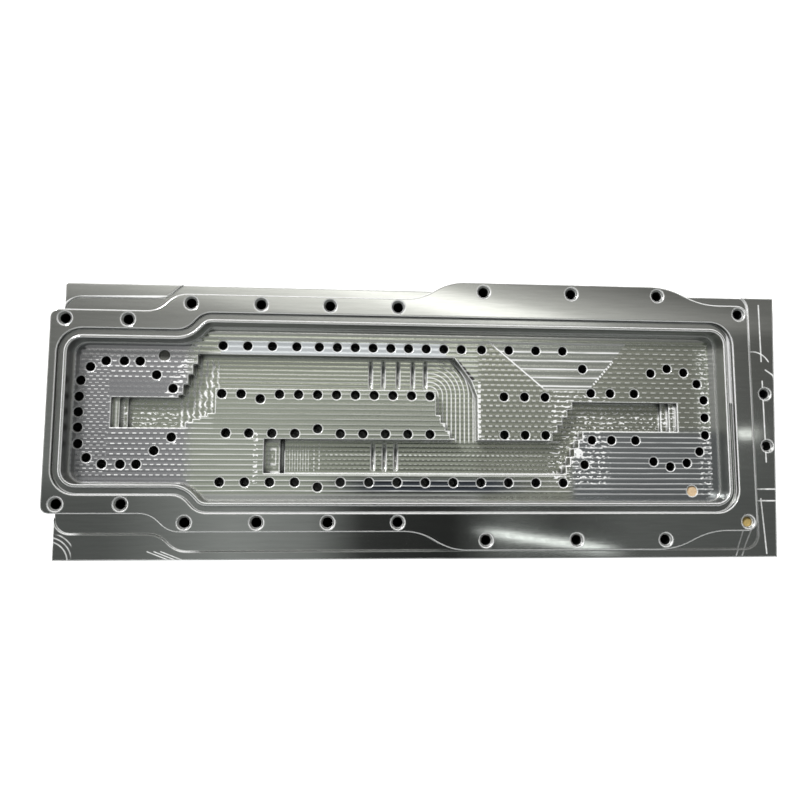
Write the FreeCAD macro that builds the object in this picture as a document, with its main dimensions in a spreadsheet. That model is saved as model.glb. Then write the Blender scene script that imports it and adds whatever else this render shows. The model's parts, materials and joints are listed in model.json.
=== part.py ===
"""Liquid cooling cold plate: one milled aluminium plate with a raised rim and a stepped coolant pocket.

+X runs along the plate, +Y across it and +Z up. The origin is at the middle of the underside's box.
The features are laid out about the plate's axis, which lies off the middle of the block, because the
block has spare stock along its lower edge and at its right end.
"""
import FreeCAD
import Part
import math
import os

import Sketcher

doc = FreeCAD.newDocument("cold_plate")

# ---------------------------------------------------------------- driving dimensions (millimetres)

SIZES = {
    # block
    "plate_height": 34.0,
    "base_height": 11.0,
    "left_reach": 223.5,
    "right_reach": 253.0,
    "lower_margin": 7.2,
    "end_skew": 6.4,
    # relief milled round the rim
    "relief_depth": 1.0,
    "relief_width": 13.5,
    "relief_corner": 10.0,
    # raised rim
    "rim_right": 220.8,
    "tab_half": 62.2,
    "mid_half": 73.2,
    "wide_half": 84.8,
    "tab_corner": 5.0,
    "end_corner": 7.0,
    "tab_bend": 16.0,
    "tab_step": -166.0,
    "wide_bend": 36.0,
    "wide_step": -6.5,
    "end_bend": 48.0,
    "end_step": 155.0,
    "step_straight": 3.0,
    # seal groove and pocket
    "bolt_land": 11.5,
    "left_land": 4.9,
    "right_land": 11.2,
    "groove_width": 4.3,
    "groove_depth": 3.0,
    "rib_width": 1.8,
    "groove_corner": 15.0,
    "groove_bend": 13.0,
    "groove_step": -147.5,
    "pocket_depth": 12.0,
    "pocket_foot": 1.5,
    # coolant channels
    "channel_depth": 9.0,
    "channel_inner": 15.9,
    "channel_outer": 37.5,
    "slot_half": 9.5,
    "slot_step": 4.5,
    "left_slot_end": -188.5,
    "right_slot_end": 176.0,
    "left_pool_start": -147.5,
    "left_pool_end": -124.8,
    "right_pool_start": 91.5,
    "right_pool_end": 114.5,
    "pool_shoulder": 8.5,
    "turn_start": 15.4,
    "turn_end": 42.5,
    "turn_chamfer": 15.0,
    "turn_taper": 4.0,
    "lower_start": -93.8,
    "lower_shelf": 9.8,
    "shelf_slot": 2.5,
    "cut_width": 2.2,
    "cut_depth": 2.0,
    "cut_half": 9.2,
    "upper_cut_start": -26.6,
    "upper_cut_pitch": 9.7,
    "upper_cut_end_pitch": 8.3,
    "lower_cut_start": -24.8,
    "lower_cut_pitch": 7.4,
    # cover bolts
    "bolt_hole": 6.4,
    "bolt_sink": 8.8,
    "sink_angle": 90.0,
    "bolt_edge": 5.7,
    "wide_bolt_edge": 6.2,
    "bolt_left_edge": 8.9,
    "bolt_right_edge": 6.1,
    "tab_pitch": 37.7,
    "mid_start": -139.1,
    "mid_pitch": 43.0,
    "wide_start": 44.9,
    "wide_pitch": 57.5,
    "end_bolt_edge": 9.2,
    "end_bolt_half": 17.8,
    # screw holes in the pocket floor
    "screw_hole": 5.9,
    "screw_depth": 14.0,
    "outer_row": 43.1,
    "inner_row": 12.4,
    "slot_row": 15.4,
    "row_jog": 3.0,
    "row_start": -120.8,
    "inset_start": -117.7,
    "island_start": 59.9,
    "slot_row_start": 117.8,
    "start_pitch": 15.5,
    "middle_pitch": 14.35,
    "close_pitch": 11.5,
    "turn_pitch": 13.45,
    "lower_pitch": 17.95,
    "upper_pitch": 12.03,
    "island_pitch": 13.6,
    "slot_pitch": 13.0,
    "slot_long_pitch": 16.2,
    "shoulder_x": 112.5,
    "shoulder_y": 31.4,
    "left_loop_x": -191.1,
    "left_loop_y": 15.4,
    "left_loop_round": 16.9,
    "left_loop_pitch": 9.65,
    "left_loop_run": 10.4,
    "left_loop_fall": 8.5,
    "left_loop_start": 95.0,
    "left_loop_angle": 35.0,
    "right_loop_x": 170.8,
    "right_loop_y": 8.5,
    "right_loop_round": 23.9,
    "right_loop_start": 7.5,
    "right_loop_angle": 28.2,
    # ports and plugs
    "port_bore": 7.0,
    "port_depth": 8.0,
    "port_recess": 1.0,
    "dowel_recess": 3.0,
    "plug_clearance": 0.05,
    "left_port_x": -157.0,
    "left_port_y": 36.2,
    "right_port_x": 184.0,
    "right_port_y": -48.2,
}

sheet = doc.addObject("Spreadsheet::Sheet", "Sizes")
for row, (name, value) in enumerate(SIZES.items(), start=1):
    sheet.set(f"A{row}", name)
    sheet.set(f"B{row}", str(value))
    sheet.setAlias(f"B{row}", name)
doc.recompute()


def bound(text):
    """Expression text in which every size is read from the sheet."""
    words = text.split()
    return " ".join(f"Sizes.{word}" if word in SIZES else word for word in words)


def number(text):
    """Value in millimetres of an expression on the sheet's sizes."""
    return float(sheet.evalExpression(bound(text)))


# ---------------------------------------------------------------- sketch helpers


def new_sketch(body, name, height="0"):
    """Sketch parallel to the body's XY plane, at a height that follows the sheet."""
    plane = next(f for f in body.Origin.OriginFeatures if f.Role == "XY_Plane")
    sketch = body.newObject("Sketcher::SketchObject", name)
    sketch.AttachmentSupport = [(plane, "")]
    sketch.MapMode = "FlatFace"
    sketch.setExpression("AttachmentOffset.Base.z", bound(height))
    return sketch


def drive(sketch, kind, *where, size):
    """Add one dimension to a sketch and bind it to the sheet."""
    index = sketch.addConstraint(Sketcher.Constraint(kind, *where, number(size)))
    name = f"size_{index}"
    sketch.renameConstraint(index, name)
    sketch.setExpression(f"Constraints.{name}", bound(size))


def pin_point(sketch, geometry, end, point):
    """Hold one point of the sketch at a place given by two expressions."""
    drive(sketch, "DistanceX", -1, 1, geometry, end, size=point[0])
    drive(sketch, "DistanceY", -1, 1, geometry, end, size=point[1])


def polygon(sketch, points):
    """Closed outline of straight lines through points given by expressions."""
    places = [FreeCAD.Vector(number(x), number(y), 0) for x, y in points]
    count = len(places)
    lines = [
        sketch.addGeometry(Part.LineSegment(places[i], places[(i + 1) % count]), False)
        for i in range(count)
    ]
    for i in range(count):
        sketch.addConstraint(Sketcher.Constraint("Coincident", lines[i], 2, lines[(i + 1) % count], 1))
        pin_point(sketch, lines[i], 1, points[i])


def tangent_line(first, second):
    """Line that leaves one round corner and enters the next; radii are negative on hollow corners."""
    (x1, y1, r1), (x2, y2, r2) = first, second
    span = math.hypot(x2 - x1, y2 - y1)
    along = math.atan2(y2 - y1, x2 - x1)
    # The outline runs clockwise, so a solid corner's centre lies to the right of the path.
    normal = along + math.acos(max(-1.0, min(1.0, (r1 - r2) / span)))
    unit = FreeCAD.Vector(math.cos(normal), math.sin(normal), 0)
    start = FreeCAD.Vector(x1, y1, 0) + unit * r1
    end = FreeCAD.Vector(x2, y2, 0) + unit * r2
    return start, end


def rounded_outline(sketch, corners):
    """Closed outline of arcs joined by tangent lines, clockwise.

    A corner is (centre x, centre y, radius, is_hollow), and a hollow corner turns to the left.
    """
    discs = []
    for x, y, radius, hollow in corners:
        size = number(radius)
        discs.append((number(x), number(y), -size if hollow else size))
    count = len(discs)
    joins = [tangent_line(discs[i], discs[(i + 1) % count]) for i in range(count)]
    lines = [sketch.addGeometry(Part.LineSegment(*join), False) for join in joins]
    arcs = []
    for i, (x, y, radius) in enumerate(discs):
        centre = FreeCAD.Vector(x, y, 0)
        enters, leaves = joins[i - 1][1] - centre, joins[i][0] - centre
        from_angle = math.atan2(enters.y, enters.x)
        to_angle = math.atan2(leaves.y, leaves.x)
        if radius > 0:
            from_angle, to_angle = to_angle, from_angle
        circle = Part.Circle(centre, FreeCAD.Vector(0, 0, 1), abs(radius))
        arcs.append(sketch.addGeometry(Part.ArcOfCircle(circle, from_angle, to_angle), False))
    for i, (x, y, radius, hollow) in enumerate(corners):
        # An arc runs anticlockwise, so a solid corner is entered at its end.
        enter, leave = (1, 2) if hollow else (2, 1)
        sketch.addConstraint(Sketcher.Constraint("Tangent", lines[i - 1], 2, arcs[i], enter))
        sketch.addConstraint(Sketcher.Constraint("Tangent", arcs[i], leave, lines[i], 1))
        pin_point(sketch, arcs[i], 3, (x, y))
        drive(sketch, "Radius", arcs[i], size=radius)


def circles(sketch, centres, diameter):
    """Equal circles whose centres and common diameter follow the sheet."""
    first = None
    for x, y in centres:
        disc = Part.Circle(FreeCAD.Vector(number(x), number(y), 0), FreeCAD.Vector(0, 0, 1), 1)
        disc.Radius = number(diameter) / 2
        geometry = sketch.addGeometry(disc, False)
        pin_point(sketch, geometry, 3, (x, y))
        if first is None:
            first = geometry
            drive(sketch, "Diameter", geometry, size=diameter)
        else:
            sketch.addConstraint(Sketcher.Constraint("Equal", first, geometry))


def rectangle(sketch, left, right, low, high):
    polygon(sketch, [(left, low), (left, high), (right, high), (right, low)])


def pad(body, sketch, name, height):
    feature = body.newObject("PartDesign::Pad", name)
    feature.Profile = sketch
    feature.setExpression("Length", bound(height))
    doc.recompute()
    return feature


def pocket(body, sketch, name, depth):
    """Cut downwards from the sketch, and make sure that it did cut."""
    before = body.Shape.Volume
    feature = body.newObject("PartDesign::Pocket", name)
    feature.Profile = sketch
    feature.setExpression("Length", bound(depth))
    doc.recompute()
    if body.Shape.Volume >= before:
        raise RuntimeError(f"{name} cuts nothing")
    return feature


# ---------------------------------------------------------------- outlines


def step_run(low, high, bend):
    """Length between the corner centres of an S-shaped step, with its short straight."""
    rise = f"( {high} - ( {low} ) )"
    return f"sqrt( 4 * {bend} * {rise} - {rise} ^ 2 + step_straight ^ 2 )"


def step_up(start, low, high, bend, inset="0"):
    """The two corners of an S-shaped step from one half width up to a wider one."""
    return [
        (start, f"{low} + {bend}", f"{bend} + ( {inset} )", True),
        (
            f"{start} + {step_run(low, high, bend)}",
            f"{high} - ( {bend} )",
            f"{bend} - ( {inset} )",
            False,
        ),
    ]


def step_down(start, high, low, bend):
    """The same step, back down to the narrower half width."""
    return [
        (start, f"{high} - {bend}", bend, False),
        (f"{start} + {step_run(low, high, bend)}", f"{low} + {bend}", bend, True),
    ]


def mirrored(upper):
    """Clockwise outline from its upper half, mirrored about the plate's axis."""
    lower = [(x, f"-1 * ( {y} )", radius, hollow) for x, y, radius, hollow in reversed(upper)]
    return upper + lower


def rim_outline():
    upper = [("tab_corner - left_reach", "tab_half - tab_corner", "tab_corner", False)]
    upper += step_up("tab_step", "tab_half", "mid_half", "tab_bend")
    upper += step_up("wide_step", "mid_half", "wide_half", "wide_bend")
    upper += step_down("end_step", "wide_half", "mid_half", "end_bend")
    upper += [("rim_right - end_corner", "mid_half - end_corner", "end_corner", False)]
    return mirrored(upper)


def seal_outline(inset):
    """Outline at a distance inside the outer edge of the seal groove."""
    corner = f"groove_corner - ( {inset} )"
    left = "left_land - left_reach + groove_corner"
    right = "rim_right - right_land - groove_corner"
    low, high = "( tab_half - bolt_land )", "( mid_half - bolt_land )"
    upper = [(left, f"{low} - groove_corner", corner, False)]
    upper += step_up("groove_step", low, high, "groove_bend", inset)
    upper += [(right, f"{high} - groove_corner", corner, False)]
    return mirrored(upper)


def stairs(start, end, count, rise_first):
    """Points of a stepped edge from one place to another, both included."""
    (x1, y1), (x2, y2) = start, end

    def at(first, last, index):
        return f"( {first} ) + ( {last} - ( {first} ) ) * {index} / {count}"

    points = []
    for i in range(count):
        points.append((at(x1, x2, i), at(y1, y2, i)))
        if rise_first:
            points.append((at(x1, x2, i), at(y1, y2, i + 1)))
        else:
            points.append((at(x1, x2, i + 1), at(y1, y2, i)))
    return points + [end]


# ---------------------------------------------------------------- the plate

plate = doc.addObject("PartDesign::Body", "plate_body")
plate.Label = "plate_body"

block = new_sketch(plate, "block_outline")
polygon(
    block,
    [
        ("-1 * left_reach", "-1 * wide_half - lower_margin"),
        ("-1 * left_reach", "wide_half"),
        ("right_reach", "wide_half"),
        ("right_reach - end_skew", "-1 * wide_half - lower_margin"),
    ],
)
pad(plate, block, "block", "base_height")

# The relief follows the rim at a distance, and runs out over the long edges past the tab.
relief = new_sketch(plate, "relief_outline", "base_height")
relief_edge = "tab_half + relief_width"
upper_relief = [
    (
        "relief_corner - left_reach",
        f"{relief_edge} - relief_corner",
        "relief_corner",
        False,
    )
]
upper_relief += step_up("tab_step", f"( {relief_edge} )", "( mid_half + relief_width )", "tab_bend")
upper_relief += [
    (
        "rim_right + relief_width - relief_corner",
        "mid_half + relief_width - relief_corner",
        "relief_corner",
        False,
    )
]
rounded_outline(relief, mirrored(upper_relief))
pocket(plate, relief, "relief", "relief_depth")

rim = new_sketch(plate, "rim_outline")
rounded_outline(rim, rim_outline())
pad(plate, rim, "rim", "plate_height")

well = new_sketch(plate, "pocket_outline", "plate_height")
rounded_outline(well, seal_outline("groove_width + rib_width"))
coolant_pocket = pocket(plate, well, "coolant_pocket", "pocket_depth")

# The cutter leaves a round foot along the pocket's wall.
FLOOR = "plate_height - pocket_depth"


def lies_on_floor(edge):
    box = edge.BoundBox
    return abs(box.ZMin - number(FLOOR)) < 0.001 and abs(box.ZMax - number(FLOOR)) < 0.001


foot_edges = [
    f"Edge{index}" for index, edge in enumerate(plate.Shape.Edges, start=1) if lies_on_floor(edge)
]
foot = plate.newObject("PartDesign::Fillet", "pocket_foot")
foot.Base = (coolant_pocket, foot_edges)
foot.setExpression("Radius", bound("pocket_foot"))
doc.recompute()

groove = new_sketch(plate, "groove_outline", "plate_height")
rounded_outline(groove, seal_outline("0"))
rounded_outline(groove, seal_outline("groove_width"))
pocket(plate, groove, "seal_groove", "groove_depth")

# ---------------------------------------------------------------- coolant channels

POOL_STAIRS = 5
TURN_STAIRS = 4

left_pool_top = "left_pool_end - pool_shoulder"
right_pool_top = "right_pool_start + 2 * pool_shoulder"
channels = {
    "left_slot": [
        ("left_slot_end + 2 * slot_step", "-1 * slot_half"),
        ("left_slot_end + 2 * slot_step", "slot_half"),
        ("left_pool_start + slot_step", "slot_half"),
        ("left_pool_start + slot_step", "-1 * slot_half"),
    ],
    "left_pool": stairs(
        ("left_pool_start", "slot_half - slot_step"), (left_pool_top, "channel_outer"), POOL_STAIRS, True
    )
    + [("left_pool_end", "channel_outer")]
    + stairs(("left_pool_end", "0"), ("left_pool_start", "-1 * slot_half"), POOL_STAIRS, False),
    "upper_channel": [
        (left_pool_top, "channel_inner"),
        (left_pool_top, "channel_outer"),
        ("turn_end - turn_chamfer", "channel_outer"),
        ("turn_end - turn_taper", "channel_outer - turn_chamfer"),
        ("turn_end", "channel_inner - turn_taper"),
        ("turn_end", "-1 * channel_inner - turn_taper"),
    ]
    + stairs(
        ("turn_end - turn_chamfer", "-1 * channel_inner - turn_taper"), ("turn_start", "0"), TURN_STAIRS, True
    )
    + [("turn_start", "channel_inner")],
    "lower_channel": [
        ("lower_start + lower_shelf", "-1 * channel_outer"),
        ("lower_start + lower_shelf", "-1 * channel_inner"),
        ("right_pool_start + slot_step", "-1 * channel_inner"),
        ("right_pool_start + slot_step", "-1 * channel_outer"),
    ],
    "right_pool": stairs(
        ("right_pool_start", "-1 * channel_inner"), (right_pool_top, "slot_half"), POOL_STAIRS, True
    )
    + [("right_pool_end", "slot_half")]
    + stairs(
        ("right_pool_end", "-1 * slot_half"),
        ("right_pool_start + pool_shoulder", "-1 * channel_outer"),
        POOL_STAIRS,
        False,
    )
    + [("right_pool_start", "-1 * channel_outer")],
    "right_slot": [
        ("right_pool_end - slot_step", "-1 * slot_half"),
        ("right_pool_end - slot_step", "slot_half"),
        ("right_slot_end - 2 * slot_step", "slot_half"),
        ("right_slot_end - 2 * slot_step", "-1 * slot_half"),
    ],
}
for name, outline in channels.items():
    sketch = new_sketch(plate, f"{name}_outline", FLOOR)
    polygon(sketch, outline)
    pocket(plate, sketch, name, "channel_depth")

# The slots' ends climb to the pocket floor in steps, and the lower channel starts on a shelf that ends
# in a narrow slot.
slot_sides = ("-1 * slot_half", "slot_half")
lower_sides = ("-1 * channel_outer", "-1 * channel_inner")
shelf_end = "lower_start + lower_shelf"
landings = {
    "left_step": ("left_slot_end", "left_slot_end + 3 * slot_step", *slot_sides, "channel_depth / 3"),
    "left_landing": (
        "left_slot_end + slot_step",
        "left_slot_end + 3 * slot_step",
        *slot_sides,
        "channel_depth * 2 / 3",
    ),
    "right_step": ("right_slot_end - 3 * slot_step", "right_slot_end", *slot_sides, "channel_depth / 3"),
    "right_landing": (
        "right_slot_end - 3 * slot_step",
        "right_slot_end - slot_step",
        *slot_sides,
        "channel_depth * 2 / 3",
    ),
    "lower_shelf": ("lower_start", f"{shelf_end} + shelf_slot", *lower_sides, "channel_depth * 2 / 3"),
    "shelf_slot": (shelf_end, f"{shelf_end} + shelf_slot", *lower_sides, "channel_depth + cut_depth"),
}
for name, (left, right, low, high, depth) in landings.items():
    sketch = new_sketch(plate, f"{name}_outline", FLOOR)
    rectangle(sketch, left, right, low, high)
    pocket(plate, sketch, f"{name}_cut", depth)


def row(start, y, *runs):
    """Places along one row: each run is a pitch and how many times it is stepped."""
    x = start
    centres = [(x, y)]
    for pitch, count in runs:
        for _ in range(count):
            x = f"{x} + {pitch}"
            centres.append((x, y))
    return centres


# ---------------------------------------------------------------- round-bottomed cuts across the channels

CUT_FLOOR = f"( {FLOOR} - channel_depth )"
CUT_RADIUS = "( ( cut_half ^ 2 + cut_depth ^ 2 ) / ( 2 * cut_depth ) )"


def cross_cut(name, middle_x, middle_y):
    """Cut with a round bottom across a channel floor, as a disc cutter leaves it."""
    plane = next(f for f in plate.Origin.OriginFeatures if f.Role == "YZ_Plane")
    sketch = plate.newObject("Sketcher::SketchObject", f"{name}_section")
    sketch.AttachmentSupport = [(plane, "")]
    sketch.MapMode = "FlatFace"
    sketch.setExpression("AttachmentOffset.Base.z", bound(f"{middle_x} + cut_width / 2"))
    y, floor, radius = number(middle_y), number(CUT_FLOOR), number(CUT_RADIUS)
    half = number("cut_half")
    centre = FreeCAD.Vector(y, floor - number("cut_depth") + radius, 0)
    rise = math.acos(half / radius)
    ring = Part.Circle(centre, FreeCAD.Vector(0, 0, 1), radius)
    arc = sketch.addGeometry(Part.ArcOfCircle(ring, math.pi + rise, math.tau - rise), False)
    left, right = FreeCAD.Vector(y - half, floor, 0), FreeCAD.Vector(y + half, floor, 0)
    chord = sketch.addGeometry(Part.LineSegment(right, left), False)
    sketch.addConstraint(Sketcher.Constraint("Coincident", arc, 2, chord, 1))
    sketch.addConstraint(Sketcher.Constraint("Coincident", arc, 1, chord, 2))
    pin_point(sketch, chord, 1, (f"{middle_y} + cut_half", CUT_FLOOR))
    pin_point(sketch, chord, 2, (f"{middle_y} - cut_half", CUT_FLOOR))
    drive(sketch, "Radius", arc, size=CUT_RADIUS)
    pocket(plate, sketch, name, "cut_width")


channel_middle = "( channel_inner + channel_outer ) / 2"
upper_cuts = row(
    "upper_cut_start",
    channel_middle,
    ("upper_cut_end_pitch", 1),
    ("upper_cut_pitch", 2),
    ("upper_cut_end_pitch", 1),
)
lower_cuts = row("lower_cut_start", f"-1 * {channel_middle}", ("lower_cut_pitch", 2))
for index, (x, y) in enumerate(upper_cuts + lower_cuts):
    cross_cut(f"cross_cut_{index}", x, y)

# ---------------------------------------------------------------- screw holes in the pocket floor


def both_sides(centres):
    """The same holes on both sides of the plate's axis."""
    return centres + [(x, f"-1 * ( {y} )") for x, y in centres]


def on_arc(loop, count):
    """Places round one of the two loops, from its start angle on by equal angles."""
    angles = [f"( {loop}_start + {i} * {loop}_angle ) * 1 deg" for i in range(count)]
    return [
        (f"{loop}_x + {loop}_round * cos( {angle} )", f"{loop}_y + {loop}_round * sin( {angle} )")
        for angle in angles
    ]


upper_outer = row(
    "row_start",
    "outer_row",
    ("start_pitch", 3),
    ("middle_pitch", 1),
    ("close_pitch", 8),
    ("turn_pitch", 1),
    ("lower_pitch", 3),
)
lower_outer = row(
    "row_start", "-1 * outer_row", ("start_pitch", 3), ("middle_pitch", 2), ("lower_pitch", 8)
)
upper_inner = row("row_start", "inner_row", ("upper_pitch", 11))
lower_inner = row("inset_start", "-1 * inner_row", ("middle_pitch", 9))

# One screw steps aside in each of three rows: the fifth of the lower rows and the third of the upper one.
lower_outer[4] = (lower_outer[4][0], "-1 * outer_row - row_jog")
upper_inner[2] = (upper_inner[2][0], "inner_row - row_jog")
lower_inner[4] = (lower_inner[4][0], "row_jog - inner_row")

left_loop = [("left_loop_x - left_loop_round", "left_loop_pitch")]
left_loop += on_arc("left_loop", 3)
left_loop += row("left_loop_x + left_loop_pitch", "left_loop_y + left_loop_round", ("left_loop_pitch", 1))
corner_x, corner_y = left_loop[-1]
left_loop += [
    (f"{corner_x} + {i} * left_loop_run", f"{corner_y} - {i} * left_loop_fall") for i in (1, 2)
]
right_loop = on_arc("right_loop", 5)

screw_groups = {
    "upper_screws": upper_outer + upper_inner,
    "lower_screws": lower_outer + lower_inner,
    "island_screws": both_sides(
        row("island_start", "inner_row", ("island_pitch", 2))
        + row("slot_row_start", "slot_row", ("slot_pitch", 1), ("slot_long_pitch", 1))
        + [("shoulder_x", "shoulder_y")]
    ),
    "left_screws": both_sides(left_loop) + [("left_loop_x - left_loop_round", "0")],
    "right_screws": both_sides(right_loop) + [("right_loop_x + right_loop_round", "0")],
}
for name, centres in screw_groups.items():
    sketch = new_sketch(plate, f"{name}_centres", FLOOR)
    circles(sketch, centres, "screw_hole")
    pocket(plate, sketch, name, "screw_depth")

# ---------------------------------------------------------------- ports

ports = {
    "left_port": ("left_port_x", "left_port_y"),
    "right_port": ("right_port_x", "right_port_y"),
}
bores = new_sketch(plate, "port_centres", FLOOR)
circles(bores, list(ports.values()), "port_bore")
pocket(plate, bores, "ports", "port_depth")

# ---------------------------------------------------------------- cover bolts and end bolts


def countersunk(name, centres, height):
    """Countersunk holes right through the plate, from a face at the given height."""
    sketch = new_sketch(plate, f"{name}_centres", height)
    circles(sketch, centres, "bolt_hole")
    doc.recompute()
    before = plate.Shape.Volume
    hole = plate.newObject("PartDesign::Hole", name)
    hole.Profile = sketch
    doc.recompute()
    hole.ThreadType = "None"
    hole.DepthType = "ThroughAll"
    hole.HoleCutType = "Countersink"
    hole.HoleCutCustomValues = True
    hole.setExpression("Diameter", bound("bolt_hole"))
    hole.setExpression("HoleCutDiameter", bound("bolt_sink"))
    hole.setExpression("HoleCutCountersinkAngle", bound("sink_angle"))
    doc.recompute()
    if plate.Shape.Volume >= before:
        raise RuntimeError(f"{name} cuts nothing")


tab_bolts = row("bolt_left_edge - left_reach", "tab_half - bolt_edge", ("tab_pitch", 1))
mid_bolts = row("mid_start", "mid_half - bolt_edge", ("mid_pitch", 3))
wide_bolts = row("wide_start", "wide_half - wide_bolt_edge", ("wide_pitch", 2))
corner_bolts = [("rim_right - bolt_right_edge", "mid_half - bolt_edge")]
countersunk("cover_bolts", both_sides(tab_bolts + mid_bolts + wide_bolts + corner_bolts), "plate_height")
countersunk("end_bolts", both_sides([("right_reach - end_bolt_edge", "end_bolt_half")]), "base_height")

# ---------------------------------------------------------------- plugs


def plug(name, place, bore, base, height):
    """Round plug that stands on a bore's floor, a little smaller than the bore."""
    body = doc.addObject("PartDesign::Body", name)
    body.Label = name
    sketch = new_sketch(body, f"{name}_outline", base)
    circles(sketch, [place], f"{bore} - 2 * plug_clearance")
    pad(body, sketch, f"{name}_pad", height)
    return body


port_floor = f"{FLOOR} - port_depth"
pieces = [plate]
for name, place in ports.items():
    pieces.append(plug(f"{name}_plug", place, "port_bore", port_floor, "port_depth - port_recess"))
corner_x, corner_y = corner_bolts[0]
pieces.append(
    plug("corner_dowel", (corner_x, f"-1 * ( {corner_y} )"), "bolt_hole", "0", "plate_height - dowel_recess")
)

# ---------------------------------------------------------------- place, check and write

for piece in pieces:
    piece.setExpression("Placement.Base.x", bound("( left_reach - right_reach ) / 2"))
    piece.setExpression("Placement.Base.y", bound("lower_margin / 2"))
doc.recompute()

for item in doc.Objects:
    if "Invalid" in item.State or "Error" in item.State:
        raise RuntimeError(f"{item.Name} did not recompute: {item.State}")
for piece in pieces:
    if piece.Shape.isNull() or not piece.Shape.isValid() or len(piece.Shape.Solids) != 1:
        raise RuntimeError(f"{piece.Label} is not one valid solid")

os.makedirs("parts", exist_ok=True)
for piece in pieces:
    piece.Shape.exportStep(f"parts/{piece.Label}.step")
    box = piece.Shape.BoundBox
    size = [round(length, 2) for length in (box.XLength, box.YLength, box.ZLength)]
    print(piece.Label, round(piece.Shape.Volume, 1), "mm3", size, "mm")
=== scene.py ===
"""Gives the milled cold plate its finish, with painted highlights, reflections and shade, and sets it in
a plain studio.

The frame holds the plate and its plugs. Each operator below finishes one piece or one group, and the
stage operator adds the floor, the light and the camera. Lengths in the shaders are millimetres from the
middle of the bolt pattern, along the plate (x), across it (y) and up from its underside (z).
"""
import json
import math
from functools import reduce
from operator import add

import bpy
from mathutils import Matrix, Vector


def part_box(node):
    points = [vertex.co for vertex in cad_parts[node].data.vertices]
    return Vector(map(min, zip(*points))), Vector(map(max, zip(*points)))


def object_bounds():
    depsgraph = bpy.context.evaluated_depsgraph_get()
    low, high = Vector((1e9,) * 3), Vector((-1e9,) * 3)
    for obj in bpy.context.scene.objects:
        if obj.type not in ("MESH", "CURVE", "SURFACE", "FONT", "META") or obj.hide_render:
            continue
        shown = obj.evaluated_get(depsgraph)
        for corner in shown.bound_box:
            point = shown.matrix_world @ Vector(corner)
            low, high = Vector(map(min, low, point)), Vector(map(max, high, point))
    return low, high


bl_info = {
    "name": "Cold plate finish",
    "version": (1, 0, 0),
    "blender": (4, 5, 0),
    "location": "View3D > Sidebar > Cold plate",
    "description": "Milled finish, port plugs and a plain studio for a liquid cooling cold plate",
    "category": "Object",
}

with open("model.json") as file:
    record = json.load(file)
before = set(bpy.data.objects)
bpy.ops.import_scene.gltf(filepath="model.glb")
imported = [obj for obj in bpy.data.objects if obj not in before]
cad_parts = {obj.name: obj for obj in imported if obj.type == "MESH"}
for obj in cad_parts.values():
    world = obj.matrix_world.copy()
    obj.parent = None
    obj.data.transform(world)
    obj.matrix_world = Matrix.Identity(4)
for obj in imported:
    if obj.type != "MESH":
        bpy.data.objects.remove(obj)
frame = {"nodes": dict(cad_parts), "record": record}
CAD_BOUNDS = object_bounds()

MOUNTS = {mount["name"]: mount for mount in frame["record"]["mounts"]}
MM = 0.001
BODY = "root"


def middle_of_bolts():
    """Middle of the bolt pattern in the frame, in metres, at the underside."""
    tab = MOUNTS["tab_bolts"]
    first = tab["pos_m"][0] - tab["dims"]["spacing_x_mm"] * MM / 2
    low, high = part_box("corner_dowel")
    last = (low.x + high.x) / 2
    return Vector(((first + last) / 2, tab["pos_m"][1], 0))


MIDDLE = middle_of_bolts()

# Heights of the plate's faces above its underside, in millimetres.
RIM_TOP = 34.0
GROOVE_FLOOR = 31.0
POCKET_FLOOR = 22.0
CHANNEL_FLOOR = 13.0
BASE_TOP = 11.0

# How much shorter the block is at its near edge than at its far one, in metres.
END_SKEW = 6.4 * MM


# ---------------------------------------------------------------- shader maths


class Value:
    """A shader socket that adds maths nodes when it is used in an expression."""

    def __init__(self, graph, socket):
        self.graph = graph
        self.socket = socket

    def math(self, operation, *values):
        return self.graph.node("ShaderNodeMath", {"operation": operation}, values)

    def __add__(self, other):
        return self.math("ADD", self, other)

    def __sub__(self, other):
        return self.math("SUBTRACT", self, other)

    def __mul__(self, other):
        return self.math("MULTIPLY", self, other)

    def __truediv__(self, other):
        return self.math("DIVIDE", self, other)

    def __pow__(self, other):
        return self.math("POWER", self, other)

    def __radd__(self, other):
        return self.math("ADD", other, self)

    def __rsub__(self, other):
        return self.math("SUBTRACT", other, self)

    def __rmul__(self, other):
        return self.math("MULTIPLY", other, self)

    def __abs__(self):
        return self.math("ABSOLUTE", self)

    def floor(self):
        return self.math("FLOOR", self)

    def at_least(self, other):
        return self.math("MAXIMUM", self, other)

    def at_most(self, other):
        return self.math("MINIMUM", self, other)

    def wave(self, pitch):
        """1 on every multiple of the pitch and 0 half way between."""
        return self.math("COSINE", self * (math.tau / pitch)) * 0.5 + 0.5

    def step(self, edge, soft, before, after):
        """One level before an edge and another after it, with a soft step."""
        reach = {"From Min": edge - soft, "From Max": edge + soft}
        levels = {"To Min": before, "To Max": after}
        smooth = {"interpolation_type": "SMOOTHSTEP"}
        return self.graph.node("ShaderNodeMapRange", smooth, {"Value": self, **reach, **levels})

    def above(self, edge, soft=0.1):
        """0 before an edge and 1 after it."""
        return self.step(edge, soft, 0, 1)

    def below(self, edge, soft=0.1):
        """1 before an edge and 0 after it."""
        return self.step(edge, soft, 1, 0)

    def between(self, low, high, soft=0.1):
        """1 between two edges and 0 outside them."""
        return abs(self - (low + high) / 2).below((high - low) / 2, soft)


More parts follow.
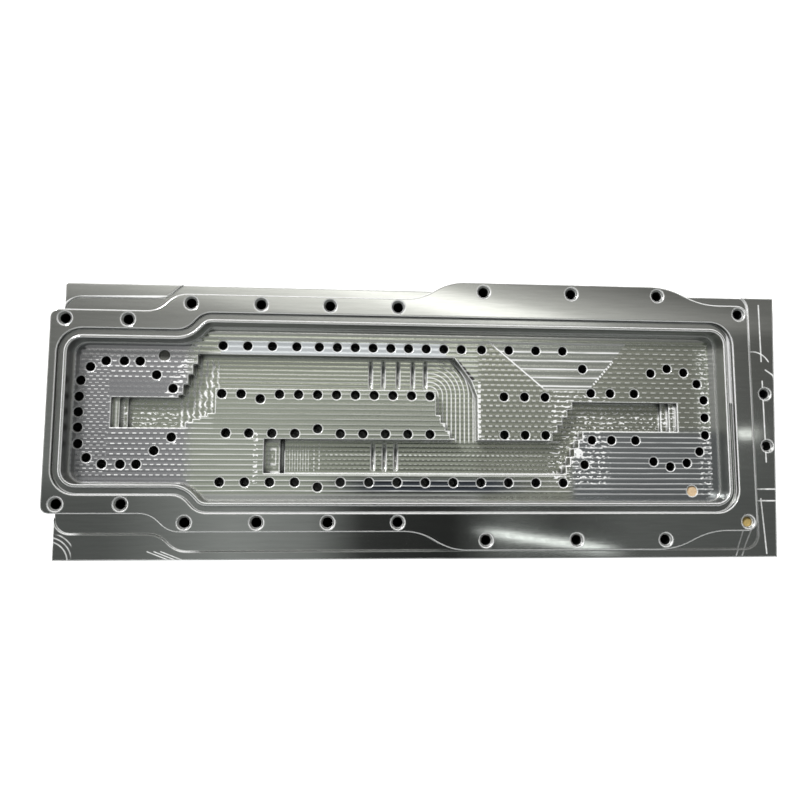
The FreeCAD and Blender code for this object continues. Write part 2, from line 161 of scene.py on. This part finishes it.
class Graph:
    """The nodes of one material or of the world."""

    def __init__(self, tree):
        self.tree = tree

    def node(self, kind, settings=None, values=(), output=0):
        """One node: its settings first, then the values or links of its sockets."""
        made = self.tree.nodes.new(kind)
        for name, setting in (settings or {}).items():
            if name == "stops":
                self.set_stops(made.color_ramp, setting)
            else:
                setattr(made, name, setting)
        pairs = values.items() if isinstance(values, dict) else enumerate(values)
        for key, value in pairs:
            self.feed(made.inputs[key], value)
        return Value(self, made.outputs[output])

    def set_stops(self, ramp, stops):
        """Give a ramp its stops: places from 0 to 1, each with a grey level."""
        for place, level in stops[1:-1]:
            ramp.elements.new(place).color = grey(level)
        for end in (0, -1):
            place, level = stops[end]
            ramp.elements[end].position = place
            ramp.elements[end].color = grey(level)

    def feed(self, socket, value):
        if isinstance(value, Value):
            self.tree.links.new(value.socket, socket)
        else:
            socket.default_value = value

    def split(self, vector):
        """The three parts of a vector."""
        parts = self.node("ShaderNodeSeparateXYZ", values=[vector]).socket.node.outputs
        return [Value(self, part) for part in parts]

    def stretch(self, vector, along_x, along_y):
        """The same vector, scaled along the plate and across it."""
        return self.node("ShaderNodeMapping", values={"Vector": vector, "Scale": (along_x, along_y, 1.0)})

    def mix(self, factor, first, second):
        """Colour that goes from the first to the second as the factor goes from 0 to 1."""
        return self.node("ShaderNodeMix", {"data_type": "RGBA"}, {0: factor, 6: first, 7: second}, 2)

    def noise(self, vector, scale, detail=2.0, rough=0.5):
        settings = {"Vector": vector, "Scale": scale, "Detail": detail, "Roughness": rough}
        return self.node("ShaderNodeTexNoise", values=settings)


def finish_graph(name):
    """A new material with its graph and its shader."""
    material = bpy.data.materials.new(name)
    material.use_nodes = True
    shader = material.node_tree.nodes["Principled BSDF"]
    return material, Graph(material.node_tree), shader


def grey(level, tint=(1.0, 1.0, 1.0)):
    return (level * tint[0], level * tint[1], level * tint[2], 1.0)


# ---------------------------------------------------------------- sizes and colours


class PlateSettings(bpy.types.PropertyGroup):
    metal: bpy.props.FloatVectorProperty(
        name="Metal",
        description="Colour of the bare aluminium",
        subtype="COLOR",
        default=(0.88, 0.89, 0.86),
        min=0.0,
        max=1.0,
    )
    raster_pitch: bpy.props.FloatProperty(
        name="Pass distance",
        description="Distance between the cutter's passes on the pocket floor, in millimetres",
        default=3.23,
        min=0.5,
        max=10.0,
    )
    bead_pitch: bpy.props.FloatProperty(
        name="Bead distance",
        description="Distance between the beads along one pass, in millimetres",
        default=4.2,
        min=0.5,
        max=12.0,
    )
    patch_pitch: bpy.props.FloatProperty(
        name="Patch pass distance",
        description="Distance between the wide passes at the upper right, in millimetres",
        default=5.6,
        min=0.5,
        max=12.0,
    )
    channel_pitch: bpy.props.FloatProperty(
        name="Channel pass distance",
        description="Distance between the passes on the channel floors, in millimetres",
        default=2.85,
        min=0.5,
        max=10.0,
    )
    edge_radius: bpy.props.FloatProperty(
        name="Edge break",
        description="Radius of the broken edges",
        default=0.0014,
        min=0.0,
        max=0.003,
        unit="LENGTH",
        precision=5,
    )


class StageSettings(bpy.types.PropertyGroup):
    floor: bpy.props.FloatVectorProperty(
        name="Floor",
        description="Colour of the floor",
        subtype="COLOR",
        default=(0.93, 0.93, 0.93),
        min=0.0,
        max=1.0,
    )
    floor_size: bpy.props.FloatProperty(
        name="Floor size",
        description="Length of the floor's sides",
        default=30.0,
        min=1.0,
        unit="LENGTH",
    )
    lens: bpy.props.FloatProperty(
        name="Lens",
        description="Focal length of the camera on a 36 mm sensor",
        default=33.3,
        min=10.0,
        max=200.0,
        unit="CAMERA",
    )


# ---------------------------------------------------------------- zones and marks of the finish, and painted highlights and reflections

# Rectangles on the pocket floor, as left, right, near and far limits.
LEFT_COLUMN = (-213, -190, -41, 40)
BEADED_FIELD = (43, 93, -14.5, 47)
FIRST_ROW = (-122, 22, 37.8, 46.5)
SLOT_APRON = (-190, -150, 12, 21)
MIDDLE_LAND = (-126, 30, -10, 10)
LEFT_STAIRS = (-160, -126, 8, 48)
RIGHT_STAIRS = (90, 128, -44, 16)
RIGHT_COLUMN = (190, 203, -50, 46)
SANDY_FIELD = (43, 190, -60, 47)

# Rectangles on the channel floors.
TURN = (8, 43, -17, 38)
LEFT_POOL = (-149, -124, -14, 36)
RIGHT_POOL = (91, 122, -38, 12)
LEFT_SLOT = (-184, -149, -9, 9)
RIGHT_SLOT = (122, 176, -9, 9)
LEFT_LANDING = (-193, -181, -9, 9)
RIGHT_LANDING = (167, 180.5, -9, 9)
NESTED_CUTS = (-94, -84.5, -37, -16.5)
SHORT_CUTS = (-80, -65, -36, -19)
DOTTED_CUTS = (-65, -58.5, -36, -18)

# Where the left loop ends, where the right end starts, and the far limit of its strong passes.
LOOP_END = -141
RIGHT_END = 104
STRONG_FAR = -9

# Straight marks on the pocket floor: start, end, width and the distance of dots, if it is dotted.
FLOOR_LINES = (
    ((-122, 37.4), (20, 37.4), 0.9),
    ((18, -2), (26, -15.6), 1.6, 2.7),
    ((26, -15.6), (94, -15.6), 1.3, 3.3),
    ((43.6, -14), (43.6, 22), 1.8, 3.3),
    ((133, 36.5), (119, 20.5), 1.4, 2.2),
)

# The painted highlight, a light line in the groove's right end, and the painted reflection, a dark band
# at the turn's corner: start, end and width.
PAINTED_GROOVE_HIGHLIGHT = ((208, 9), (208, 57), 1.8)
PAINTED_TURN_REFLECTION = ((28.5, 35.5), (39.5, 22.6), 3.2)

# Bright blobs by the right stairs: middle and width.
BLOBS = (((108.5, -24), 6), ((97, -35), 5), ((110, -10), 4))

# Scratches on the base past the rim's right end: start and end.
END_SCRATCHES = (
    ((242.3, 80), (242.3, 40)),
    ((242.3, 27), (242.3, -29)),
    ((234, -46.9), (249, -46.9)),
    ((233.5, -54.7), (249, -54.7)),
    ((237.1, -53), (239.4, -90)),
    ((244.7, 34.6), (250, 31)),
    ((250, 31), (252.7, 22.9)),
    ((226, -70), (218, -91)),
    ((230, -74), (222, -91)),
)

# Distance between the repeated arcs and scratches at the left of the base, and between rows of flecks.
ARC_PITCH = 2.6
SCRATCH_PITCH = 4.16
SPARK_PITCH = 3.3


# ---------------------------------------------------------------- the plate's finish and its painted light


class Plate:
    """Named fields over the plate, shared by the parts of its finish."""

    def __init__(self, graph):
        place = graph.node("ShaderNodeTexCoord", output=3)
        to_mm = {"Vector": place, "Location": -MIDDLE / MM, "Scale": (1 / MM,) * 3}
        self.place = graph.node("ShaderNodeMapping", values=to_mm)
        self.x, self.y, self.z = graph.split(self.place)
        normal = graph.node("ShaderNodeTexCoord", output=1)
        self.up = abs(graph.split(normal)[2])
        self.flat = self.up.above(0.92, 0.05)
        self.pocket = self.flat * self.z.between(POCKET_FLOOR - 0.3, POCKET_FLOOR + 0.3)
        self.channel = self.flat * self.z.between(CHANNEL_FLOOR - 1, POCKET_FLOOR - 1)
        self.base = self.z.below(BASE_TOP + 0.5)
        self.slow = graph.noise(self.place, 0.03, 2.0)
        self.fast = graph.noise(self.place, 0.35, 3.0)
        self.fine = graph.noise(self.place, 1.1, 2.0)
        self.drawn = graph.noise(graph.stretch(self.place, 0.05, 0.5), 1.0, 2.0)
        self.dashes = graph.noise(graph.stretch(self.place, 0.38, 0.7), 1.0, 1.0)

    def box(self, left, right, low, high, soft=0.5):
        """1 inside a rectangle of the plate."""
        return self.x.between(left, right, soft) * self.y.between(low, high, soft)

    def stroke(self, start, end, width=0.9, dots=None):
        """1 on a straight mark from one place to another, or on a row of dots at that distance."""
        half = width / 2
        if start[0] == end[0] and dots is None:
            return self.box(start[0] - half, start[0] + half, *sorted((start[1], end[1])), 0.3)
        if start[1] == end[1] and dots is None:
            return self.box(start[0], end[0], start[1] - half, start[1] + half, 0.3)
        length = math.dist(start, end)
        cos, sin = (end[0] - start[0]) / length, (end[1] - start[1]) / length
        x, y = self.x - start[0], self.y - start[1]
        across = y * cos - x * sin
        along = x * cos + y * sin
        mark = abs(across).below(half, 0.25) * along.between(0, length, 0.4)
        return mark if dots is None else mark * along.wave(dots).above(0.45, 0.25)

    def ring(self, centre, radius, width=0.8):
        """1 on a circle round a place."""
        x, y = self.x - centre[0], self.y - centre[1]
        return abs((x * x + y * y) ** 0.5 - radius).below(width / 2, 0.25)

    def sparks(self, share):
        """Short bright flecks in rows, on about that share of the surface."""
        return self.dashes.above(0.62 - share * 0.14, 0.04) * self.y.wave(SPARK_PITCH).above(0.35, 0.3)


def total(values):
    """Sum of shader values."""
    return reduce(add, values)


def passes(plate, across, along, pitch, bead=None, gaps=0.0, sharp=7):
    """Bright crests of the cutter's passes: lines across, broken into beads along."""
    lines = (across + (plate.slow - 0.5) * 0.5).wave(pitch) ** sharp
    uneven = 0.55 + 0.9 * (plate.drawn - 0.25)
    if bead is None:
        return lines * uneven
    stagger = (across / pitch + 0.5).floor() * bead * 0.45
    beads = (along + stagger + plate.fast * 1.2).wave(bead).above(0.45, 0.2)
    return lines * uneven * (1 - gaps * (1 - beads))


def pocket_marks(plate, sizes):
    """Crests on the pocket floor, zone by zone, and the lines that part the zones."""
    x, y = plate.x, plate.y
    pitch, bead = sizes.raster_pitch, sizes.bead_pitch
    column = plate.box(*LEFT_COLUMN, 1.5)
    loop = x.below(LOOP_END, 5) * (1 - column)
    beaded = plate.box(*BEADED_FIELD, 1.0)
    ends = x.above(RIGHT_END, 4)
    strong = ends * y.below(STRONG_FAR, 4)
    first_row = plate.box(*FIRST_ROW, 0.4)
    quiet = plate.box(*SLOT_APRON, 1.0) + plate.box(*MIDDLE_LAND, 1.5) * 0.6
    plain = 1 - (loop + column + beaded + ends).at_most(1)

    crest = passes(plate, y, x, pitch) * plain * 0.95
    crest += passes(plate, y, x, pitch, bead, 0.75) * loop * 1.4
    crest += passes(plate, y, x, 2.05, 4.1, 0.95, 4) * column
    crest += passes(plate, y, x, 3.35, 4.3, 0.97, 3) * beaded * 0.8
    crest += passes(plate, y, x, pitch, 6.0, 0.7) * (ends - strong) * 0.8
    crest += passes(plate, y, x, 3.35, sharp=5) * strong * 0.85
    crest = crest * (1 - quiet * 0.8) * (1 - first_row)

    slope = (y - 47.8) + (x - 51) * 0.84
    far_slope = (y - 20.0) - (x - 118.6) * 1.2
    patch = slope.above(0, 0.4) * far_slope.above(0, 0.6) * y.between(18.5, 49.5, 0.3)
    crest = crest * (1 - patch) + passes(plate, y + 2.5, x, sizes.patch_pitch, sharp=9) * patch * 1.3
    crest += abs(slope).below(0.6, 0.35) * x.between(50, 86, 1)
    crest += abs(y - 47.6).below(0.4, 0.3) * x.between(-124, 51, 1) * 0.8
    crest += abs(y - 17.9).below(0.4, 0.3) * x.between(86, 118, 1) * 0.8

    jagged = ((y - 10) - (x + 150) * 2).between(1, 14, 3) * plate.box(*LEFT_STAIRS, 2)
    border = (x + 99 + plate.fast * 2 - 1).between(-1.3, 1.3, 0.4) * y.between(-44, -12, 1)
    turn_border = ((y + 2) + (x - 18) * 1.6).between(-1.6, 1.6, 0.6) * x.between(15, 27, 1)
    turn_side = (x - 43.6).between(-1.0, 1.0, 0.4) * y.between(-16, 22, 1)
    pool = plate.box(*RIGHT_STAIRS, 4)
    column_end = plate.box(*RIGHT_COLUMN, 2)
    flecks = jagged * 1.3 + border * 1.4 + turn_border + turn_side * 0.8
    flecks = plate.sparks(0.75) * flecks + plate.sparks(0.45) * (pool + column_end * 0.7)
    blobs = total(plate.ring(middle, 0, width) for middle, width in BLOBS)
    flecks += blobs * plate.fast.above(0.45, 0.1)
    lines = total(plate.stroke(*line) for line in FLOOR_LINES)
    return (crest + flecks + lines).at_most(1), patch, first_row, loop + column, strong


def strip(plate):
    """1 on the smooth strip that runs round the pocket floor's wall."""
    x, y = plate.x, abs(plate.y)
    step = x.above(-139, 6)
    wall = 44.6 + 11.0 * step
    inside = (wall - y).at_most(x + 212.5).at_most(203.5 - x)
    return inside.below(5.0, 0.4)


def channel_marks(plate, sizes):
    """Crests on the channel floors: straight passes, and passes that follow the turn."""
    x, y = plate.x, plate.y
    turn = plate.box(*TURN, 1.5)
    reach_x, reach_y = (x - 12).at_least(0), (y - 14).at_least(0)
    bend = (reach_x * reach_x + reach_y * reach_y) ** 0.5
    crest = passes(plate, bend, y, 2.9, sharp=4) * turn * 1.2
    left_pool = plate.box(*LEFT_POOL, 2)
    right_pool = plate.box(*RIGHT_POOL, 3)
    upper = y.above(14, 0.5)
    middle = x.between(-124, 92, 2) * (1 - turn)
    crest += passes(plate, y, x, 2.4, sharp=4) * middle * upper * 0.55
    crest += passes(plate, y, x, sizes.channel_pitch, 3.4, 0.8) * middle * (1 - upper) * 0.6
    crest += passes(plate, x + plate.fast * 5, y + x, 3.7, 6.5, 0.6, 2) * left_pool * 1.7
    crest += plate.sparks(0.55) * right_pool
    slots = plate.box(*LEFT_SLOT, 1) + plate.box(*RIGHT_SLOT, 1)
    crest += passes(plate, y, x, 2.9, 4.5, 0.8) * slots * 0.8
    crest += plate.sparks(0.25) * slots
    nests = abs(x + 89).at_least(abs(y + 27) * 0.45)
    crest += nests.wave(2.2) ** 3 * plate.box(*NESTED_CUTS) * 0.8
    short = passes(plate, x, y, 1.7, sharp=3) * plate.box(*SHORT_CUTS)
    dots = passes(plate, x, y, 3.3, 2.6, 0.9) * plate.box(*DOTTED_CUTS)
    landings = plate.box(*LEFT_LANDING) + plate.box(*RIGHT_LANDING)
    bars = x.wave(3.8).above(0.6, 0.25) * landings
    dots += plate.stroke((-55, -25.3), (88, -25.3), 1.0, 3.2) * 0.4
    return (crest + short * 0.7 + dots + bars * 0.5).at_most(1)


def scratches(plate):
    """Bright marks on the block's upper face, outside the rim."""
    marks = plate.ring((-214, 64), 11.5) * plate.box(-226, -214, 60, 80)
    marks += plate.stroke((-214, 75.6), (-160, 76.8), 1.3) * 1.3
    marks += plate.ring((236, 34), 13.0) * plate.box(230, 250, 40, 52)
    for index in range(3):
        along = index * SCRATCH_PITCH
        marks += plate.ring((-227, -93), 13.0 + index * ARC_PITCH) * plate.box(-224, -212, -92, -76) * 0.7
        marks += plate.stroke((-166 + along, -86.5), (-152 + along, -92), 0.6)
    for start, end in END_SCRATCHES:
        marks += plate.stroke(start, end)
    return (marks * (0.35 + 1.1 * plate.fast)).at_most(1) * plate.base * plate.flat


class COLDPLATE_OT_plate(bpy.types.Operator):
    """Gives the milled plate its finish, with painted highlights, reflections and shade"""

    bl_idname = "coldplate.plate"
    bl_label = "Finish the plate"

    def execute(self, context):
        sizes = context.scene.coldplate_plate
        material, graph, shader = finish_graph("milled_aluminium")
        plate = Plate(graph)
        crest, patch, first_row, loop, strong = pocket_marks(plate, sizes)
        smooth = strip(plate)
        floor_crest = crest * plate.pocket * (1 - smooth)
        channel_crest = channel_marks(plate, sizes) * plate.channel
        # Painted highlight: a light line along the groove's right end, whitened with the marks.
        groove = plate.flat * plate.z.between(GROOVE_FLOOR - 0.4, GROOVE_FLOOR + 0.4)
        painted_groove_highlight = plate.stroke(*PAINTED_GROOVE_HIGHLIGHT) * groove
        marks = (floor_crest + channel_crest + scratches(plate) + painted_groove_highlight).at_most(1)

        # Painted highlight: the broken edges, where the bevel's rounded normal parts from the true one,
        # are painted almost white and dull.
        rounded = graph.node("ShaderNodeBevel", {"samples": 6}, {"Radius": sizes.edge_radius})
        sharp = graph.node("ShaderNodeNewGeometry", output=3)
        together = graph.node("ShaderNodeVectorMath", {"operation": "DOT_PRODUCT"}, [rounded, sharp], 1)
        edge = (1 - together).above(0.025, 0.02)

        # Painted shade: deep hollows, found by an occlusion node, are painted nearly black and made
        # rougher.
        nearby = {"samples": 8, "only_local": True}
        hollow = graph.node("ShaderNodeAmbientOcclusion", nearby, {"Distance": 0.006}, 1)
        painted_hollow_shade = hollow.below(0.42, 0.2) * plate.z.below(RIM_TOP - 1, 0.5)

        floor = (plate.pocket + plate.channel).at_most(1)
        metal = (*sizes.metal, 1.0)
        shade = graph.mix(plate.drawn, grey(0.74, (1, 1.01, 0.97)), metal)
        shade = graph.mix(plate.pocket * (1 - smooth), shade, grey(0.7, (1.0, 1.05, 0.9)))
        shade = graph.mix(plate.channel, shade, grey(0.64, (1.0, 1.05, 0.88)))
        sandy = plate.box(*SANDY_FIELD, 6) * floor
        shade = graph.mix(sandy * (0.6 + 0.4 * plate.fast), shade, grey(0.5, (1.0, 1.02, 0.86)))
        shade = graph.mix(loop * plate.pocket, shade, grey(0.6, (1.0, 0.99, 1.03)))
        shade = graph.mix(strong * plate.pocket, shade, grey(0.4, (0.96, 1.0, 1.03)))
        # Painted highlight: the band of the first row and a little of the wide-pass patch are painted
        # lighter and less metallic.
        bright = (first_row + patch * 0.25).at_most(1) * plate.pocket
        shade = graph.mix(bright, shade, grey(0.86, (0.96, 1.0, 1.04)))
        # Painted reflection: a dark bluish stretch of the pocket floor along its near wall.
        x_reach = plate.x.between(-45, 70, 26)
        painted_near_wall_reflection = x_reach * plate.y.between(-50, -40.5, 2.5) * plate.pocket
        shade = graph.mix(painted_near_wall_reflection, shade, grey(0.13, (0.85, 0.95, 1.15)))
        # Painted reflection: a dark band on the floor beside the turn's chamfer.
        painted_turn_reflection = plate.stroke(*PAINTED_TURN_REFLECTION) * floor
        shade = graph.mix(painted_turn_reflection, shade, grey(0.12))
        # Painted shade: steep faces are painted dark grey.
        wall = plate.up.below(0.85, 0.1)
        shade = graph.mix(wall * 0.75, shade, grey(0.16, (1.0, 1.03, 0.98)))
        # Partly painted highlight: the milling marks, flecks and scratches are real, but painting them
        # near white and dull stands in for their glints; the groove's light line is painted highlight
        # only.
        colour = graph.mix(marks, shade, grey(0.97))
        # Painted highlight on the broken edges.
        colour = graph.mix(edge * 0.9, colour, grey(0.97))
        # Painted shade in the deep hollows.
        colour = graph.mix(painted_hollow_shade, colour, grey(0.02))
        graph.feed(shader.inputs["Base Color"], colour)

        dull = (marks * 0.8).at_least(edge * 0.92).at_least(bright * 0.35).at_least(floor * 0.12)
        graph.feed(shader.inputs["Metallic"], 1 - dull)
        rough = 0.035 + 0.03 * plate.fast + 0.06 * floor + 0.02 * plate.base + 0.25 * painted_hollow_shade + 0.2 * marks
        rough = rough.at_least(wall * 0.3)
        graph.feed(shader.inputs["Roughness"], rough)

        # The relief has fewer fields than the colour, because the renderer works it out three times.
        ridges = plate.y.wave(sizes.raster_pitch) * plate.pocket
        ridges += plate.y.wave(sizes.channel_pitch) * plate.channel
        height = ridges * 0.3 + plate.fine * 0.12 * floor + plate.drawn * 0.008
        relief = {"Strength": 0.5, "Distance": 0.0003, "Height": height, "Normal": rounded}
        bump = graph.node("ShaderNodeBump", values=relief)
        graph.feed(shader.inputs["Normal"], bump)
        node = frame["nodes"]["plate_body"]
        node.data.materials.clear()
        node.data.materials.append(material)
        return {"FINISHED"}


# ---------------------------------------------------------------- the plugs


def plug_finish(name, light, dark):
    """Dull metal with stains and a fine grain."""
    material, graph, shader = finish_graph(name)
    place = graph.node("ShaderNodeTexCoord", output=3)
    stain = graph.noise(place, 900.0, 4.0, 0.6)
    fine = graph.noise(place, 4000.0, 2.0)
    graph.feed(shader.inputs["Base Color"], graph.mix(stain.above(0.5, 0.2), dark, light))
    graph.feed(shader.inputs["Roughness"], 0.5 + 0.2 * fine)
    graph.feed(shader.inputs["Metallic"], 0.35 + 0.3 * stain)
    bump = graph.node("ShaderNodeBump", values={"Strength": 0.4, "Distance": 0.0001, "Height": fine})
    graph.feed(shader.inputs["Normal"], bump)
    return material


class COLDPLATE_OT_plugs(bpy.types.Operator):
    """Gives the port plugs and the corner dowel their dull metal"""

    bl_idname = "coldplate.plugs"
    bl_label = "Finish the plugs"

    def execute(self, context):
        finishes = {
            "left_port_plug": ((0.20, 0.20, 0.18, 1), (0.12, 0.12, 0.11, 1)),
            "right_port_plug": ((0.86, 0.66, 0.44, 1), (0.70, 0.50, 0.30, 1)),
            "corner_dowel": ((0.62, 0.46, 0.17, 1), (0.45, 0.33, 0.13, 1)),
        }
        for name, (light, dark) in finishes.items():
            node = frame["nodes"][name]
            node.data.materials.clear()
            node.data.materials.append(plug_finish(f"{name}_metal", light, dark))
        return {"FINISHED"}


# ---------------------------------------------------------------- the stage


# Brightness of what the plate mirrors, from its narrow end to its long end, each stop being a place from
# 0 to 1 and a level: the lit ceiling beyond its far edge, the room overhead, and the dark near side.
FAR_CEILING = (
    (0.0, 0.19), (0.2, 0.36), (0.3, 0.66), (0.46, 0.86), (0.55, 1.5), (0.63, 1.2), (0.70, 0.55),
    (0.85, 0.3), (1.0, 0.15),
)
OVERHEAD = ((0.0, 0.16), (0.1, 0.23), (0.25, 0.34), (0.5, 0.28), (0.65, 0.29), (0.85, 0.16), (1.0, 0.1))
NEAR_SIDE = (
    (0.0, 0.09), (0.1, 0.10), (0.26, 0.27), (0.36, 0.2), (0.43, 0.035), (0.55, 0.022), (0.63, 0.11),
    (0.70, 0.06), (0.8, 0.11), (1.0, 0.09),
)


def studio_sky(world):
    """What the plate mirrors: a lit ceiling, the room, a dark near side and two small bright lamps."""
    world.use_nodes = True
    graph = Graph(world.node_tree)
    direction = graph.node("ShaderNodeTexCoord", output=0)
    x, y, z = graph.split(direction)
    rise = z.at_least(0.05)
    u = x / rise
    v = y / rise

    def row(stops, place):
        return graph.split(graph.node("ShaderNodeValToRGB", {"stops": stops}, [place]))[0]

    level = row(NEAR_SIDE, u + 0.4)
    overhead = v.above(0.0, 0.03)
    level = level + (row(OVERHEAD, u + 0.4) - level) * overhead
    ceiling = v.above(0.218, 0.014)
    level = level + (row(FAR_CEILING, u + 0.4 - (0.24 - v) * 5) - level) * ceiling
    outside = (u * u + v * v).above(0.8, 0.4)
    level = level + (0.42 - level) * outside
    streak = abs((v + 0.07) + (u - 0.212) * 0.14).below(0.004, 0.003) * u.between(0.2, 0.37, 0.03)
    patch = u.between(0.555, 0.585, 0.01) * v.between(0.062, 0.074, 0.005)
    level = level + 1.6 * streak + 1.2 * patch
    tint = graph.mix(v.above(0.1, 0.2), grey(1.0, (0.95, 1.0, 0.98)), grey(1.0, (1.0, 1.0, 0.96)))
    background = world.node_tree.nodes["Background"]
    graph.feed(background.inputs["Color"], tint)
    graph.feed(background.inputs["Strength"], level)


# Where the camera stands from the middle of the bolts, in millimetres, and how it is turned, in degrees.
CAMERA_PLACE = (-45.767, -42.494, 459.125 + RIM_TOP)
CAMERA_TURN = (-6.277, 4.598, -0.149)


def add_camera(context, sizes):
    """Camera above the plate, a little to its left and towards its near edge."""
    camera = bpy.data.cameras.new("camera")
    camera.sensor_width = 36.0
    camera.lens = sizes.lens
    camera.clip_start = 0.01
    holder = bpy.data.objects.new("camera", camera)
    turn = Matrix.Identity(3)
    for angle, axis in zip(CAMERA_TURN, "XYZ"):
        turn = turn @ Matrix.Rotation(math.radians(angle), 3, axis)
    place = MIDDLE + Vector(CAMERA_PLACE) * MM
    holder.matrix_world = Matrix.LocRotScale(place, turn.transposed().to_quaternion(), None)
    context.scene.collection.objects.link(holder)
    context.scene.camera = holder


def add_sun(context):
    """Soft sun from the far left, low enough that no flat face mirrors it."""
    lamp = bpy.data.lights.new("sun", "SUN")
    lamp.energy = 4.0
    lamp.angle = math.radians(12)
    holder = bpy.data.objects.new("sun", lamp)
    holder.rotation_euler = Vector((-0.6, 0.7, 0.85)).to_track_quat("Z", "Y").to_euler()
    context.scene.collection.objects.link(holder)


def add_floor(context, sizes):
    """Pale, evenly glowing floor with a painted shadow: black and unlit where the plate covers it."""
    half = sizes.floor_size / 2
    mesh = bpy.data.meshes.new("floor")
    corners = [(-half, -half, 0), (half, -half, 0), (half, half, 0), (-half, half, 0)]
    mesh.from_pydata(corners, [], [(0, 1, 2, 3)])
    floor = bpy.data.objects.new("floor", mesh)
    floor.location.z = -0.0005
    context.scene.collection.objects.link(floor)
    material, graph, shader = finish_graph("pale_floor")
    x, y, _ = graph.split(graph.node("ShaderNodeTexCoord", output=3))
    low, high = CAD_BOUNDS
    slant = (high[1] - y) * (END_SKEW / (high[1] - low[1]))
    margin, soft = 2 * MM, 0.5 * MM
    # Painted shadow: the floor under the plate is painted black and gives no light.
    painted_plate_shadow = x.above(low[0] + margin, soft) * (x + slant).below(high[0] - margin, soft)
    painted_plate_shadow = painted_plate_shadow * y.between(low[1] + margin, high[1] - margin, soft)
    white = (*sizes.floor, 1.0)
    graph.feed(shader.inputs["Base Color"], graph.mix(painted_plate_shadow, white, grey(0.01)))
    graph.feed(shader.inputs["Emission Color"], graph.mix(painted_plate_shadow, grey(1.0), grey(0.0)))
    shader.inputs["Roughness"].default_value = 0.9
    shader.inputs["Emission Strength"].default_value = 0.9
    floor.data.materials.append(material)


class COLDPLATE_OT_stage(bpy.types.Operator):
    """Adds the pale floor, the soft light and the camera"""

    bl_idname = "coldplate.stage"
    bl_label = "Set the stage"

    def execute(self, context):
        sizes = context.scene.coldplate_stage
        context.scene.view_settings.view_transform = "Standard"
        add_floor(context, sizes)
        add_sun(context)
        world = context.scene.world or bpy.data.worlds.new("studio")
        context.scene.world = world
        studio_sky(world)
        add_camera(context, sizes)
        return {"FINISHED"}


# ---------------------------------------------------------------- panel and registration


class COLDPLATE_PT_panel(bpy.types.Panel):
    bl_label = "Cold plate"
    bl_idname = "COLDPLATE_PT_panel"
    bl_space_type = "VIEW_3D"
    bl_region_type = "UI"
    bl_category = "Cold plate"

    def draw(self, context):
        for sizes in (context.scene.coldplate_plate, context.scene.coldplate_stage):
            for name in sizes.__annotations__:
                self.layout.prop(sizes, name)
        for operator in OPERATORS:
            self.layout.operator(operator.bl_idname)


OPERATORS = (COLDPLATE_OT_plate, COLDPLATE_OT_plugs, COLDPLATE_OT_stage)
CLASSES = (PlateSettings, StageSettings, *OPERATORS, COLDPLATE_PT_panel)


def register():
    for item in CLASSES:
        bpy.utils.register_class(item)
    bpy.types.Scene.coldplate_plate = bpy.props.PointerProperty(type=PlateSettings)
    bpy.types.Scene.coldplate_stage = bpy.props.PointerProperty(type=StageSettings)


def unregister():
    del bpy.types.Scene.coldplate_stage
    del bpy.types.Scene.coldplate_plate
    for item in reversed(CLASSES):
        bpy.utils.unregister_class(item)


def main():
    register()
    bpy.ops.coldplate.plate()
    bpy.ops.coldplate.plugs()
    bpy.ops.coldplate.stage()


if __name__ == "__main__":
    main()
